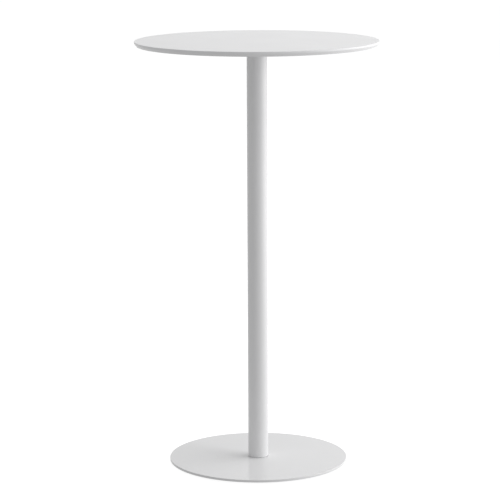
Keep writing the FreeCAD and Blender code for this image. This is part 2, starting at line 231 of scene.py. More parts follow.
def turn_piece(name: str, stations: Sequence[Station], segments: int) -> Piece:
    """Turns a piece about the Z axis by extruding a ring from station to station.

    A piece whose first and last radius is zero is closed by poles. Otherwise the last ring is bridged
    back to the first, which gives a bored piece.

    Args:
        name: Name of the new object.
        stations: Radius and level of each ring, in order round the section.
        segments: Number of sides of each ring.

    Returns:
        The turned object.
    """
    bored = stations[0][0] > 0
    rings = [station for station in stations if station[0] > 0]
    first_radius, first_level = rings[0]
    bpy.ops.object.select_all(action="DESELECT")
    bpy.ops.mesh.primitive_circle_add(
        vertices=segments, radius=first_radius, fill_type="NOTHING", location=(0, 0, first_level)
    )
    piece = bpy.context.active_object
    name_piece(piece, name)
    bpy.ops.object.transform_apply(location=True, rotation=True, scale=True)
    with editing(piece, everywhere):
        for (radius, level), (next_radius, next_level) in zip(rings, rings[1:]):
            bpy.ops.mesh.extrude_region_move(TRANSFORM_OT_translate={"value": (0, 0, next_level - level)})
            swell = next_radius / radius
            bpy.ops.transform.resize(value=(swell, swell, 1), center_override=(0, 0, next_level))
        if not bored:
            close_pole()
    on_first = on_ring(*rings[0])
    on_last = on_ring(*rings[-1])
    if bored:
        with editing(piece, lambda place: on_first(place) or on_last(place)):
            bpy.ops.mesh.bridge_edge_loops()
    else:
        with editing(piece, on_first):
            close_pole()
    turn_outwards(piece)
    return piece


def round_rings(piece: Piece, roundings: Dict[Station, Rounding]) -> None:
    """Rounds the sharp rings of a turned piece, one after the other.

    Args:
        piece: The turned object.
        roundings: The rounding of each ring, by the ring's station.
    """
    for station, rounding in roundings.items():
        with editing(piece, on_ring(*station)):
            bpy.ops.mesh.bevel(offset=rounding.width, segments=rounding.steps, affect="EDGES")


def turn_plate(name: str, node: str, lower: Rounding, upper: Rounding, segments: int) -> Piece:
    """Turns a round plate to the box of its node, and rounds its two rims.

    Args:
        name: Name of the new object.
        node: The node that gives the plate's size and place.
        lower: Rounding of the lower rim.
        upper: Rounding of the upper rim.
        segments: Number of sides.

    Returns:
        The plate.
    """
    low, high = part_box(node)
    rims = {(high.x, low.z): lower, (high.x, high.z): upper}
    plate = turn_piece(name, [(0, low.z), *rims, (0, high.z)], segments)
    round_rings(plate, rims)
    return plate


def apply_modifier(piece: Piece, kind: str, **settings: Any) -> None:
    """Adds a modifier with its settings and applies it.

    Args:
        piece: The object to change.
        kind: Blender's name of the modifier's type.
        **settings: The modifier's properties.
    """
    take(piece)
    modifier = piece.modifiers.new(kind.lower(), kind)
    for setting, value in settings.items():
        setattr(modifier, setting, value)
    bpy.ops.object.modifier_apply(modifier=modifier.name)


def join_pieces(pieces: Sequence[Piece]) -> Piece:
    """Joins objects into the first of them.

    Args:
        pieces: The objects to join.

    Returns:
        The first object, which now holds all the meshes.
    """
    take(pieces[0])
    for piece in pieces[1:]:
        piece.select_set(True)
    bpy.ops.object.join()
    return pieces[0]


def combine(piece: Piece, tool: Piece, joining: Joining) -> None:
    """Cuts a piece with a tool, welds the tool to it, or keeps what both fill. The tool is used up.

    Args:
        piece: The object to change.
        tool: The closed object to change it with.
        joining: What is done.
    """
    apply_modifier(piece, "BOOLEAN", object=tool, operation=joining.value, solver="EXACT")
    bpy.data.objects.remove(tool)
    with editing(piece, everywhere):
        bpy.ops.mesh.dissolve_degenerate(threshold=SLIVER)


def make_copy(piece: Piece, name: str, shift: Vector, turned: float) -> Piece:
    """Copies a piece that stands on the Z axis, turned and moved, with its place in its own mesh.

    Args:
        piece: The object to copy.
        name: Name of the copy.
        shift: Where the copy's axis goes.
        turned: Angle that the copy is turned about its axis first.

    Returns:
        The copy.
    """
    take(piece)
    bpy.ops.object.duplicate(linked=False)
    copy = bpy.context.active_object
    name_piece(copy, name)
    bpy.ops.transform.rotate(value=turned, orient_axis="Z", center_override=(0, 0, 0))
    bpy.ops.transform.translate(value=shift)
    bpy.ops.object.transform_apply(location=True, rotation=True, scale=True)
    return copy


def copy_round(piece: Piece, places: Sequence[Vector], turned: float) -> Piece:
    """Copies a piece that stands on the Z axis to several places and joins the copies.

    Args:
        piece: The object to copy, which is used up.
        places: Where the copies' axes go.
        turned: Angle by which each copy is turned further than the one before.

    Returns:
        One object that holds all the copies.
    """
    name = piece.name
    copies = []
    for number, place in enumerate(places):
        copies.append(make_copy(piece, f"{name}_{number + 1}", place, number * turned))
    bpy.data.objects.remove(piece)
    joined = join_pieces(copies)
    name_piece(joined, name)
    return joined


def drill_tool(radius: float, low: float, high: float, places: Sequence[Vector]) -> Piece:
    """A cutting tool made of equal drills.

    Args:
        radius: Radius of each hole.
        low: Lower end of the holes.
        high: Upper end of the holes.
        places: Where the holes' axes are.

    Returns:
        One object that holds all the drills.
    """
    sides = 48
    drill = turn_piece("drill", [(0, low), (radius, low), (radius, high), (0, high)], sides)
    return copy_round(drill, places, 0)


def hexagon_bar(across_flats: float, low: float, high: float) -> Piece:
    """A hexagonal bar on the Z axis between two levels, to cut sockets with or to make a collar of."""
    radius = across_flats / 2 / math.cos(math.pi / HEXAGON)
    return turn_piece("hexagon", [(0, low), (radius, low), (radius, high), (0, high)], HEXAGON)


def shade(piece: Piece) -> None:
    """Shades a piece smooth across its roundings and flat on its flats.

    Args:
        piece: The finished object.
    """
    take(piece)
    bpy.ops.object.shade_smooth_by_angle(angle=SMOOTH_ANGLE)
    apply_modifier(piece, "WEIGHTED_NORMAL", keep_sharp=True)


def note_own_place(piece: Piece) -> None:
    """Keeps each vertex's place, measured from the piece's own axis, as an attribute.

    Args:
        piece: The object, while it still stands on the Z axis.
    """
    attribute = piece.data.attributes.new(OWN_PLACE, "FLOAT_VECTOR", "POINT")
    for vertex, entry in zip(piece.data.vertices, attribute.data):
        entry.vector = vertex.co


def turn_fastener(
    name: str, stations: Sequence[Station], segments: int, socket: HexagonSocket, edges: Rounding
) -> Piece:
    """Turns a screw on the Z axis whose head is at its lower end, with a hexagon socket in the head.

    Args:
        name: Name of the new object.
        stations: Radius and level of each ring, from the head's face to the tip.
        segments: Number of sides.
        socket: The socket in the head.
        edges: Rounding of all the sharp edges.

    Returns:
        The fastener.
    """
    fastener = turn_piece(name, stations, segments)
    face = stations[0][1]
    combine(fastener, hexagon_bar(socket.across_flats, face - OVERCUT, face + socket.depth), Joining.CUT)
    apply_modifier(
        fastener,
        "BEVEL",
        width=edges.width,
        segments=edges.steps,
        limit_method="ANGLE",
        angle_limit=SMOOTH_ANGLE,
    )
    shade(fastener)
    note_own_place(fastener)
    return fastener


def places_round(count: int, circle: float) -> List[Vector]:
    """Places spread evenly on a circle round the Z axis, from +X on, at level zero."""
    angles = [math.tau * number / count for number in range(count)]
    return [Vector((circle * math.cos(angle), circle * math.sin(angle), 0)) for angle in angles]


# Shader effects that several finishes share.


class NodeBoard:
    """Adds and links nodes in one shader tree."""

    def __init__(self, owner: Union[bpy.types.Material, bpy.types.World, bpy.types.NodeTree]) -> None:
        """Starts on an empty tree.

        Args:
            owner: A node group, or a material or world, whose own nodes are cleared.
        """
        self.tree = owner
        if not isinstance(owner, bpy.types.NodeTree):
            owner.use_nodes = True
            self.tree = owner.node_tree
        self.tree.nodes.clear()

    def add(self, kind: str, sockets: Optional[Dict[Any, Any]] = None, **settings: Any) -> bpy.types.Node:
        """Adds a node.

        Args:
            kind: Blender's name of the node's type.
            sockets: What goes into its inputs, by name or number: a value or another node's output.
            **settings: The node's properties.

        Returns:
            The new node.
        """
        node = self.tree.nodes.new(kind)
        for setting, value in settings.items():
            setattr(node, setting, value)
        self.fill(node, sockets or {})
        return node

    def fill(self, node: bpy.types.Node, sockets: Dict[Any, Any]) -> None:
        """Feeds several inputs of a node, by name or number."""
        for socket, source in sockets.items():
            self.feed(node.inputs[socket], source)

    def feed(self, target: bpy.types.NodeSocket, source: Any) -> None:
        """Links an output to an input socket, or sets the socket's value.

        Args:
            target: The input socket.
            source: Another node's output, or a value.
        """
        if isinstance(source, bpy.types.NodeSocket):
            self.tree.links.new(source, target)
        else:
            target.default_value = source

    def mix(self, mixture: Mixture, factor: Any, first: Any, second: Any) -> Output:
        """Mixes two values or two colours.

        Args:
            mixture: What is mixed.
            factor: 0 for the first and 1 for the second.
            first: A value or an output.
            second: A value or an output.

        Returns:
            The output with the mixture.
        """
        node = self.add("ShaderNodeMix", data_type=mixture.value)
        shown = {socket.name: socket for socket in node.inputs if socket.enabled}
        self.feed(shown["Factor"], factor)
        self.feed(shown["A"], first)
        self.feed(shown["B"], second)
        return next(socket for socket in node.outputs if socket.enabled)

    def multiply(self, first: Any, second: Any) -> Output:
        """The product of two values or outputs."""
        return self.add("ShaderNodeMath", {0: first, 1: second}, operation="MULTIPLY").outputs[0]

    def either_of(self, first: Any, second: Any) -> Output:
        """The sum of two outputs, kept between 0 and 1."""
        node = self.add("ShaderNodeMath", {0: first, 1: second}, operation="ADD", use_clamp=True)
        return node.outputs[0]

    def noise(self, place: Any, waves: Any, detail: float) -> Output:
        """A soft noise from 0 to 1, by its number of waves per metre and of finer layers."""
        sockets = {"Vector": place, "Scale": waves, "Detail": detail}
        return self.add("ShaderNodeTexNoise", sockets).outputs["Fac"]

    def spread(self, value: Any, low: float, high: float) -> Output:
        """Spreads a range of a value, so that low becomes 0 and high becomes 1."""
        sockets = {"Value": value, "From Min": low, "From Max": high}
        return self.add("ShaderNodeMapRange", sockets).outputs["Result"]

    def switch(self, factor: Output, first: bpy.types.Node, second: bpy.types.Node) -> bpy.types.Node:
        """Shows the first shader where the factor is 0, and the second where it is 1."""
        sockets = {0: factor, 1: first.outputs[0], 2: second.outputs[0]}
        return self.add("ShaderNodeMixShader", sockets)

    def both(self, first: bpy.types.Node, second: bpy.types.Node) -> bpy.types.Node:
        """Adds two shaders."""
        return self.add("ShaderNodeAddShader", {0: first.outputs[0], 1: second.outputs[0]})


class Effect:
    """A shader node group that several finishes place with their own values."""

    def __init__(self, name: str, inputs: Dict[str, Socket], outputs: Dict[str, Socket]) -> None:
        """Makes the empty group with its sockets.

        Args:
            name: Name of the group.
            inputs: Kind of each named input.
            outputs: Kind of each named output.
        """
        self.tree = bpy.data.node_groups.new(name, "ShaderNodeTree")
        for way, sockets in (("INPUT", inputs), ("OUTPUT", outputs)):
            for label, kind in sockets.items():
                self.tree.interface.new_socket(label, in_out=way, socket_type=kind.value)
        self.board = NodeBoard(self.tree)
        self.given = self.board.add("NodeGroupInput").outputs
        self.result = self.board.add("NodeGroupOutput").inputs

    def give(self, label: str, source: Output) -> None:
        """Links what the group works out to one of its outputs."""
        self.board.feed(self.result[label], source)

    def place(self, board: NodeBoard, sockets: Dict[str, Any]) -> bpy.types.NodeOutputs:
        """Places the group in a material, fed by name, and gives its outputs."""
        return board.add("ShaderNodeGroup", sockets, node_tree=self.tree).outputs


def make_orange_peel() -> Effect:
    """The slight waviness of sprayed or baked paint and of moulded plastic.

    Returns:
        A group that gives a height from a place and a number of waves per metre.
    """
    ripples_per_wave = 2.7
    ripple_share = 0.3
    inputs = {"Place": Socket.VECTOR, "Waves": Socket.VALUE}
    effect = Effect("orange_peel", inputs, {"Height": Socket.VALUE})
    board = effect.board
    given = effect.given
    swell = board.noise(given["Place"], given["Waves"], detail=1)
    ripple = board.noise(given["Place"], board.multiply(given["Waves"], ripples_per_wave), detail=0)
    effect.give("Height", board.mix(Mixture.VALUES, ripple_share, swell, ripple))
    return effect


def make_tone_drift() -> Effect:
    """The slow drift of a coating's colour and gloss over a surface.

    Returns:
        A group that gives a colour between two and a roughness between two.
    """
    inputs = {
        "Place": Socket.VECTOR,
        "Waves": Socket.VALUE,
        "Colour": Socket.COLOUR,
        "Other colour": Socket.COLOUR,
        "Roughness": Socket.VALUE,
        "Other roughness": Socket.VALUE,
    }
    effect = Effect("tone_drift", inputs, {"Colour": Socket.COLOUR, "Roughness": Socket.VALUE})
    board = effect.board
    given = effect.given
    drift = board.spread(board.noise(given["Place"], given["Waves"], detail=4), low=0.3, high=0.7)
    for label, mixture in (("Colour", Mixture.COLOURS), ("Roughness", Mixture.VALUES)):
        effect.give(label, board.mix(mixture, drift, given[label], given[f"Other {label.lower()}"]))
    return effect


def make_settled_dust() -> Effect:
    """Fine dust on what faces upwards, thicker in patches.

    Returns:
        A group that gives the dusted colour.
    """
    speck_share = 0.6
    inputs = {
        "Place": Socket.VECTOR,
        "Colour": Socket.COLOUR,
        "Dust colour": Socket.COLOUR,
        "Amount": Socket.VALUE,
    }
    effect = Effect("settled_dust", inputs, {"Colour": Socket.COLOUR})
    board = effect.board
    given = effect.given
    normal = board.add("ShaderNodeNewGeometry").outputs["Normal"]
    upright = board.add("ShaderNodeSeparateXYZ", {"Vector": normal}).outputs["Z"]
    upward = board.spread(upright, low=0.6, high=1.0)
    patches = board.spread(board.noise(given["Place"], waves=14.0, detail=3), low=0.35, high=0.75)
    specks = board.spread(board.noise(given["Place"], waves=1500.0, detail=2), low=0.55, high=0.75)
    fall = board.multiply(upward, board.mix(Mixture.VALUES, speck_share, patches, specks))
    cover = board.multiply(fall, given["Amount"])
    effect.give("Colour", board.mix(Mixture.COLOURS, cover, given["Colour"], given["Dust colour"]))
    return effect


def make_turned_marks() -> Effect:
    """The fine rings that turning leaves round a fastener's axis.

    Returns:
        A group that gives the rings' height, and the rings blurred to bands for the gloss.
    """
    bands_per_ring = 0.2
    inputs = {"Place": Socket.VECTOR, "Rings": Socket.VALUE}
    effect = Effect("turned_marks", inputs, {"Height": Socket.VALUE, "Bands": Socket.VALUE})
    board = effect.board
    given = effect.given
    split = board.add("ShaderNodeSeparateXYZ", {"Vector": given["Place"]}).outputs
    flat = board.add("ShaderNodeCombineXYZ", {"X": split["X"], "Y": split["Y"]}).outputs["Vector"]
    reach = board.add("ShaderNodeVectorMath", {0: flat}, operation="LENGTH").outputs["Value"]
    path = board.add("ShaderNodeCombineXYZ", {"X": reach, "Y": split["Z"]}).outputs["Vector"]
    effect.give("Height", board.noise(path, given["Rings"], detail=2))
    effect.give("Bands", board.noise(path, board.multiply(given["Rings"], bands_per_ring), detail=1))
    return effect


@dataclass(frozen=True)
class Effects:
    """The shared effects, each built once."""

    orange_peel: Effect
    tone_drift: Effect
    settled_dust: Effect
    turned_marks: Effect

    @classmethod
    def build(cls) -> "Effects":
        """Builds all the groups."""
        return cls(make_orange_peel(), make_tone_drift(), make_settled_dust(), make_turned_marks())


# Finishes.


def opaque(colour: Colour) -> Tuple[float, float, float, float]:
    """A colour with full cover, as Blender's sockets take it."""
    return (*colour, 1.0)


@dataclass(frozen=True)
class Finish:
    """A material, and the record's slot that it belongs to."""

    slot: Slot
    material: bpy.types.Material

    def dress_piece(self, piece: Piece, node: str) -> None:
        """Gives the finish to a piece that stands for a node, and hangs the piece on the node's body.

        Args:
            piece: The finished object.
            node: The node that it stands for.
        """
        bodies = frame["record"]["behaviour"]["bodies"]
        body = next(name for name, nodes in bodies.items() if node in nodes)
        piece.data.materials.append(self.material)
        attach(piece, body)
        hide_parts(node)
        log.info("%s stands for %s on %s: %d faces", piece.name, node, body, len(piece.data.polygons))

    def dress_node(self, node: str) -> None:
        """Gives the finish to a node of the frame that keeps its own shape.

        Args:
            node: Name of the node.
        """
        for slot in frame["nodes"][node].material_slots:
            slot.material = self.material
        log.info("%s keeps its shape and gets %s", node, self.material.name)


@dataclass(frozen=True)
class DriftingFinish:
    """What every finish has: a name, its slot, and two tones that the surface drifts between."""

    name: str
    slot: Slot
    colour: Colour
    other_colour: Colour
    roughness: float
    other_roughness: float
    drift_waves: float


class Surface:
    """A material in the making: its nodes, and the place and tone that its effects start from."""

    def __init__(self, finish: DriftingFinish, effects: Effects) -> None:
        """Starts the material.

        Args:
            finish: The finish that it is made for.
            effects: The shared effects.
        """
        self.slot = finish.slot
        self.material = bpy.data.materials.new(finish.name)
        self.board = NodeBoard(self.material)
        self.shader = self.board.add("ShaderNodeBsdfPrincipled")
        self.board.add("ShaderNodeOutputMaterial", {"Surface": self.shader.outputs["BSDF"]})
        self.place = self.board.add("ShaderNodeTexCoord").outputs["Object"]
        self.tone = effects.tone_drift.place(self.board, {
            "Place": self.place,
            "Waves": finish.drift_waves,
            "Colour": opaque(finish.colour),
            "Other colour": opaque(finish.other_colour),
            "Roughness": finish.roughness,
            "Other roughness": finish.other_roughness,
        })

    def complete(self, relief: Output, depth: float, sockets: Dict[str, Any]) -> Finish:
        """Feeds the shader.

        Args:
            relief: Height of the fine relief, from 0 to 1.
            depth: Depth of that relief.
            sockets: What goes into the shader's other inputs, by name.

        Returns:
            The finish.
        """
        bump = self.board.add("ShaderNodeBump", {"Distance": depth, "Height": relief})
        self.board.fill(self.shader, {**sockets, "Normal": bump.outputs["Normal"]})
        return Finish(self.slot, self.material)


@dataclass(frozen=True)
class CoatedFinish(DriftingFinish):
    """Paint, lacquer or moulded plastic: a satin skin with orange peel, slow drift and a little dust."""

    dust_colour: Colour
    dust: float
    specular: float
    peel_waves: float
    peel_height: float

    def make(self, effects: Effects) -> Finish:
        """Builds the material.

        Args:
            effects: The shared effects.

        Returns:
            The finish.
        """
        surface = Surface(self, effects)
        board = surface.board
        place = surface.place
        dusted = effects.settled_dust.place(board, {
            "Place": place,
            "Colour": surface.tone["Colour"],
            "Dust colour": opaque(self.dust_colour),
            "Amount": self.dust,
        })
        peel = effects.orange_peel.place(board, {"Place": place, "Waves": self.peel_waves})
        return surface.complete(peel["Height"], self.peel_height, {
            "Base Color": dusted["Colour"],
            "Roughness": surface.tone["Roughness"],
            "Specular IOR Level": self.specular,
        })


@dataclass(frozen=True)
class MetalFinish(DriftingFinish):
    """Bare or plated metal: the drift of its surface, and fine tool marks in its height and gloss."""

    marks: Marks
    rings: float
    ring_height: float

    def make(self, effects: Effects) -> Finish:
        """Builds the material.

        Args:
            effects: The shared effects.

        Returns:
            The finish.
        """
        surface = Surface(self, effects)
        board = surface.board
        place = surface.place
        if self.marks is Marks.TURNED:
            place = board.add("ShaderNodeAttribute", attribute_name=OWN_PLACE).outputs["Vector"]
        rings = effects.turned_marks.place(board, {"Place": place, "Rings": self.rings})
        roughness = surface.tone["Roughness"]
        return surface.complete(rings["Height"], self.ring_height, {
            "Base Color": surface.tone["Colour"],
            "Roughness": board.mix(Mixture.VALUES, rings["Bands"], roughness, self.other_roughness),
            "Metallic": 1.0,
        })


@dataclass(frozen=True)
class Finishes:
    """The table's finishes."""

    lacquer: Finish
    powder_coat: Finish
    smooth_coat: Finish
    turned_zinc: Finish
    drawn_zinc: Finish
    brass: Finish
    nylon: Finish

    @classmethod
    def build(cls, effects: Effects) -> "Finishes":
        """Builds every finish.

        Args:
            effects: The shared effects.

        Returns:
            The finishes.
        """
        lacquer = CoatedFinish(
            name="satin_lacquer",
            slot=Slot.LACQUER,
            colour=(0.800, 0.800, 0.808),
            other_colour=(0.788, 0.788, 0.794),
            dust_colour=(0.74, 0.73, 0.71),
            dust=0.05,
            roughness=0.32,
            other_roughness=0.37,
            specular=0.3,
            drift_waves=6.0,
            peel_waves=420.0,
            peel_height=0.006 * MM,
        )
        baked = {
            "slot": Slot.POWDER_COAT,
            "dust_colour": (0.72, 0.71, 0.69),
            "dust": 0.06,
            "drift_waves": 9.0,
        }
        powder_coat = CoatedFinish(
            name="fine_powder_coat",
            colour=(0.785, 0.785, 0.792),
            other_colour=(0.772, 0.772, 0.778),
            roughness=0.36,
            other_roughness=0.42,
            specular=0.3,
            peel_waves=650.0,
            peel_height=0.008 * MM,
            **baked,
        )
        smooth_coat = CoatedFinish(
            name="smooth_powder_coat",
            colour=(0.805, 0.805, 0.812),
            other_colour=(0.792, 0.792, 0.798),
            roughness=0.12,
            other_roughness=0.15,
            specular=0.1,
            peel_waves=500.0,
            peel_height=0.002 * MM,
            **baked,
        )
        nylon = CoatedFinish(
            name="moulded_nylon",
            slot=Slot.NYLON,
            colour=(0.100, 0.100, 0.105),
            other_colour=(0.086, 0.086, 0.090),
            dust_colour=(0.32, 0.31, 0.30),
            dust=0.25,
            roughness=0.52,
            other_roughness=0.62,
            specular=0.4,
            drift_waves=120.0,
            peel_waves=2600.0,
            peel_height=0.012 * MM,
        )
        zinc = {
            "slot": Slot.ZINC,
            "colour": (0.570, 0.580, 0.595),
            "other_colour": (0.540, 0.540, 0.530),
            "roughness": 0.30,
            "other_roughness": 0.46,
            "drift_waves": 260.0,
            "rings": 5200.0,
        }
        turned_zinc = MetalFinish("turned_zinc", marks=Marks.TURNED, ring_height=0.006 * MM, **zinc)
        drawn_zinc = MetalFinish("drawn_zinc", marks=Marks.DRAWN, ring_height=0.003 * MM, **zinc)
        brass = MetalFinish(
            name="turned_brass",
            slot=Slot.BRASS,
            marks=Marks.DRAWN,
            colour=(0.700, 0.550, 0.280),
            other_colour=(0.640, 0.490, 0.240),
            roughness=0.28,
            other_roughness=0.42,
            drift_waves=300.0,
            rings=5200.0,
            ring_height=0.004 * MM,
        )
        finishes = [lacquer, powder_coat, smooth_coat, turned_zinc, drawn_zinc, brass, nylon]
        return cls(*[finish.make(effects) for finish in finishes])


# Sub-assemblies.


class SubAssembly(ABC):
    """Pieces of the table that belong together."""

    @abstractmethod
    def build(self) -> Pieces:
        """Models the pieces, by the nodes that they stand for."""

    @abstractmethod
    def coats(self, finishes: Finishes) -> Dict[str, Finish]:
        """Names the finish of each node, also of those that keep their own shape."""

    def dress(self, pieces: Pieces, finishes: Finishes) -> None:
        """Gives every node's finish to the piece that stands for it, or to the node itself.

        Args:
            pieces: The modelled pieces.
            finishes: The table's finishes.
        """
        for node, finish in self.coats(finishes).items():
            if node in pieces:
                finish.dress_piece(pieces[node], node)
            else:
                finish.dress_node(node)


@dataclass(frozen=True)
class PlugJoint:
    """The holes in a plate that is held to a plug in the column's end by a bolt and two dowels."""

    countersink: float = 10.02 * MM
    bolt_hole: float = 5.5 * MM
    dowel_count: int = 2
    dowel_circle: float = 13.99 * MM
    dowel_hole: float = 3.02 * MM
    segments: int = 96

    def tools(self, outer: float, inner: float) -> List[Piece]:
        """Makes the cutting tools for the holes.

        Args:
            outer: Level of the face that the bolt's head is flush with.
            inner: Level of the face that lies on the plug.

        Returns:
            The drills for the dowels, which go half through, and the bolt's countersink.
        """
        inwards = math.copysign(OVERCUT, inner - outer)
        outside = outer - inwards
        far = inner + inwards
        neck = outer + math.copysign(self.countersink - self.bolt_hole, inwards)
        stations = [
            (0, outside),
            (self.countersink + OVERCUT, outside),
            (self.bolt_hole, neck),
            (self.bolt_hole, far),
            (0, far),
        ]
        dowel_places = places_round(self.dowel_count, self.dowel_circle)
        dowel_low, dowel_high = sorted([(outer + inner) / 2, far])
        dowels = drill_tool(self.dowel_hole, dowel_low, dowel_high, dowel_places)
        return [dowels, turn_piece("countersink", stations, self.segments)]


@dataclass
class TopPanel(SubAssembly):
    """The round lacquered panel: an upright edge that draws in towards the underside."""

    screw_places: Sequence[Vector]
    land: float = 4.5 * MM
    bevel: float = 6 * MM
    upper_arris: Rounding = Rounding(0.8 * MM, steps=6)
    knee_easing: Rounding = Rounding(0.6 * MM, steps=3)
    lower_easing: Rounding = Rounding(0.5 * MM, steps=3)
    insert_hole: float = 5.02 * MM
    insert_depth: float = 8.5 * MM
    segments: int = 288

    def build(self) -> Pieces:
        """Models the panel with the holes for its inserts.

        Returns:
            The panel, by its node.
        """
        low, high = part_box("table_top")
        radius = high.x
        knee = (radius, high.z - self.land)
        upper = (radius, high.z)
        lower = (radius - self.bevel, low.z)
        panel = turn_piece("panel", [(0, low.z), lower, knee, upper, (0, high.z)], self.segments)
        round_rings(panel, {upper: self.upper_arris, knee: self.knee_easing, lower: self.lower_easing})
        hole_end = low.z + self.insert_depth
        holes = drill_tool(self.insert_hole, low.z - OVERCUT, hole_end, self.screw_places)
        combine(panel, holes, Joining.CUT)
        shade(panel)
        return {"table_top": panel}

    def coats(self, finishes: Finishes) -> Dict[str, Finish]:
        """Lacquers the panel. The inserts in it are brass."""
        return {"table_top": finishes.lacquer, "top_inserts": finishes.brass}


@dataclass
class FlangeSet(SubAssembly):
    """The disc under the panel, and the screws and washers that hold it there."""

    screw_count: int = 6
    washer_radius: float = 6 * MM
    washer_easing: Rounding = Rounding(0.24 * MM, steps=3)
    screw_hole: float = 3.5 * MM
    screw_radius: float = 3 * MM
    head_radius: float = 5.25 * MM
    crown_radius: float = 3.6 * MM
    rim_height: float = 1.1 * MM
    dome_steps: int = 8
    tip_taper: float = 0.8 * MM
    socket: HexagonSocket = HexagonSocket(across_flats=4 * MM, depth=2 * MM)
    socket_turn: float = math.radians(17)
    edge_break: Rounding = Rounding(0.12 * MM, steps=2)
    fastener_segments: int = 64
    lower_arris: Rounding = Rounding(1 * MM, steps=4)
    upper_arris: Rounding = Rounding(0.4 * MM, steps=2)
    joint: PlugJoint = PlugJoint()
    segments: int = 192

    def screw_places(self) -> List[Vector]:
        """Where the screws are, taken from the washers under their heads."""
        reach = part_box("flange_washers")[1].x - self.washer_radius
        return places_round(self.screw_count, reach)

    def model_disc(self) -> Piece:
        """Models the disc with its holes.

        Returns:
            The disc.
        """
        low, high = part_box("top_flange")
        disc = turn_plate("flange_disc", "top_flange", self.lower_arris, self.upper_arris, self.segments)
        screws = drill_tool(self.screw_hole, low.z - OVERCUT, high.z + OVERCUT, self.screw_places())
        combine(disc, join_pieces([screws, *self.joint.tools(high.z, low.z)]), Joining.CUT)
        shade(disc)
        return disc

    def model_washers(self) -> Piece:
        """Models one stamped washer and copies it under every screw.

        Returns:
            All the washers.
        """
        low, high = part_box("flange_washers")
        corners = [
            (self.screw_hole, low.z),
            (self.washer_radius, low.z),
            (self.washer_radius, high.z),
            (self.screw_hole, high.z),
        ]
        washer = turn_piece("flange_washer_set", corners, self.fastener_segments)
        round_rings(washer, {corner: self.washer_easing for corner in corners})
        shade(washer)
        note_own_place(washer)
        return copy_round(washer, self.screw_places(), 0)

    def model_screws(self) -> Piece:
        """Models one button-head screw with its socket downwards, and copies it to every hole.

        Returns:
            All the screws.
        """
        low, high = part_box("flange_screws")
        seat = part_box("flange_washers")[0].z
        rim = seat - self.rim_height
        stations = [(0, low.z), (self.crown_radius, low.z)]
        for step in range(1, self.dome_steps + 1):
            angle = math.pi / 2 * step / self.dome_steps
            radius = self.crown_radius + (self.head_radius - self.crown_radius) * math.sin(angle)
            stations.append((radius, low.z + (rim - low.z) * (1 - math.cos(angle))))
        stations += [
            (self.head_radius, seat),
            (self.screw_radius, seat),
            (self.screw_radius, high.z - self.tip_taper),
            (self.screw_radius - self.tip_taper, high.z),
            (0, high.z),
        ]
        segments = self.fastener_segments
        screw = turn_fastener("flange_screw_set", stations, segments, self.socket, self.edge_break)
        return copy_round(screw, self.screw_places(), self.socket_turn)

    def build(self) -> Pieces:
        """Models the disc, the washers and the screws.

        Returns:
            The pieces, by their nodes.
        """
        return {
            "top_flange": self.model_disc(),
            "flange_washers": self.model_washers(),
            "flange_screws": self.model_screws(),
        }

    def coats(self, finishes: Finishes) -> Dict[str, Finish]:
        """Coats the disc. The fasteners are zinc plated."""
        return {
            "top_flange": finishes.powder_coat,
            "flange_washers": finishes.turned_zinc,
            "flange_screws": finishes.turned_zinc,
            "flange_bolt": finishes.drawn_zinc,
            "flange_dowels": finishes.drawn_zinc,
        }


@dataclass
class Column(SubAssembly):
    """The tube between the plates, and the plugs in its ends."""

    wall: float = 2 * MM
    end_easing: Rounding = Rounding(0.6 * MM, steps=3)
    bore_easing: Rounding = Rounding(0.3 * MM, steps=3)
    segments: int = 160

    def build(self) -> Pieces:
        """Models the tube.

        Returns:
            The tube, by its node.
        """
        low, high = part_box("column_tube")
        outside = high.x
        bore = outside - self.wall
        easings = {
            (bore, low.z): self.bore_easing,
            (outside, low.z): self.end_easing,
            (outside, high.z): self.end_easing,
            (bore, high.z): self.bore_easing,
        }
        tube = turn_piece("tube", list(easings), self.segments)
        round_rings(tube, easings)
        shade(tube)
        return {"column_tube": tube}

    def coats(self, finishes: Finishes) -> Dict[str, Finish]:
        """Coats the tube. The plugs are plated."""
        plugs = dict.fromkeys(("column_top_plug", "column_bottom_plug"), finishes.drawn_zinc)
        return {"column_tube": finishes.powder_coat, **plugs}


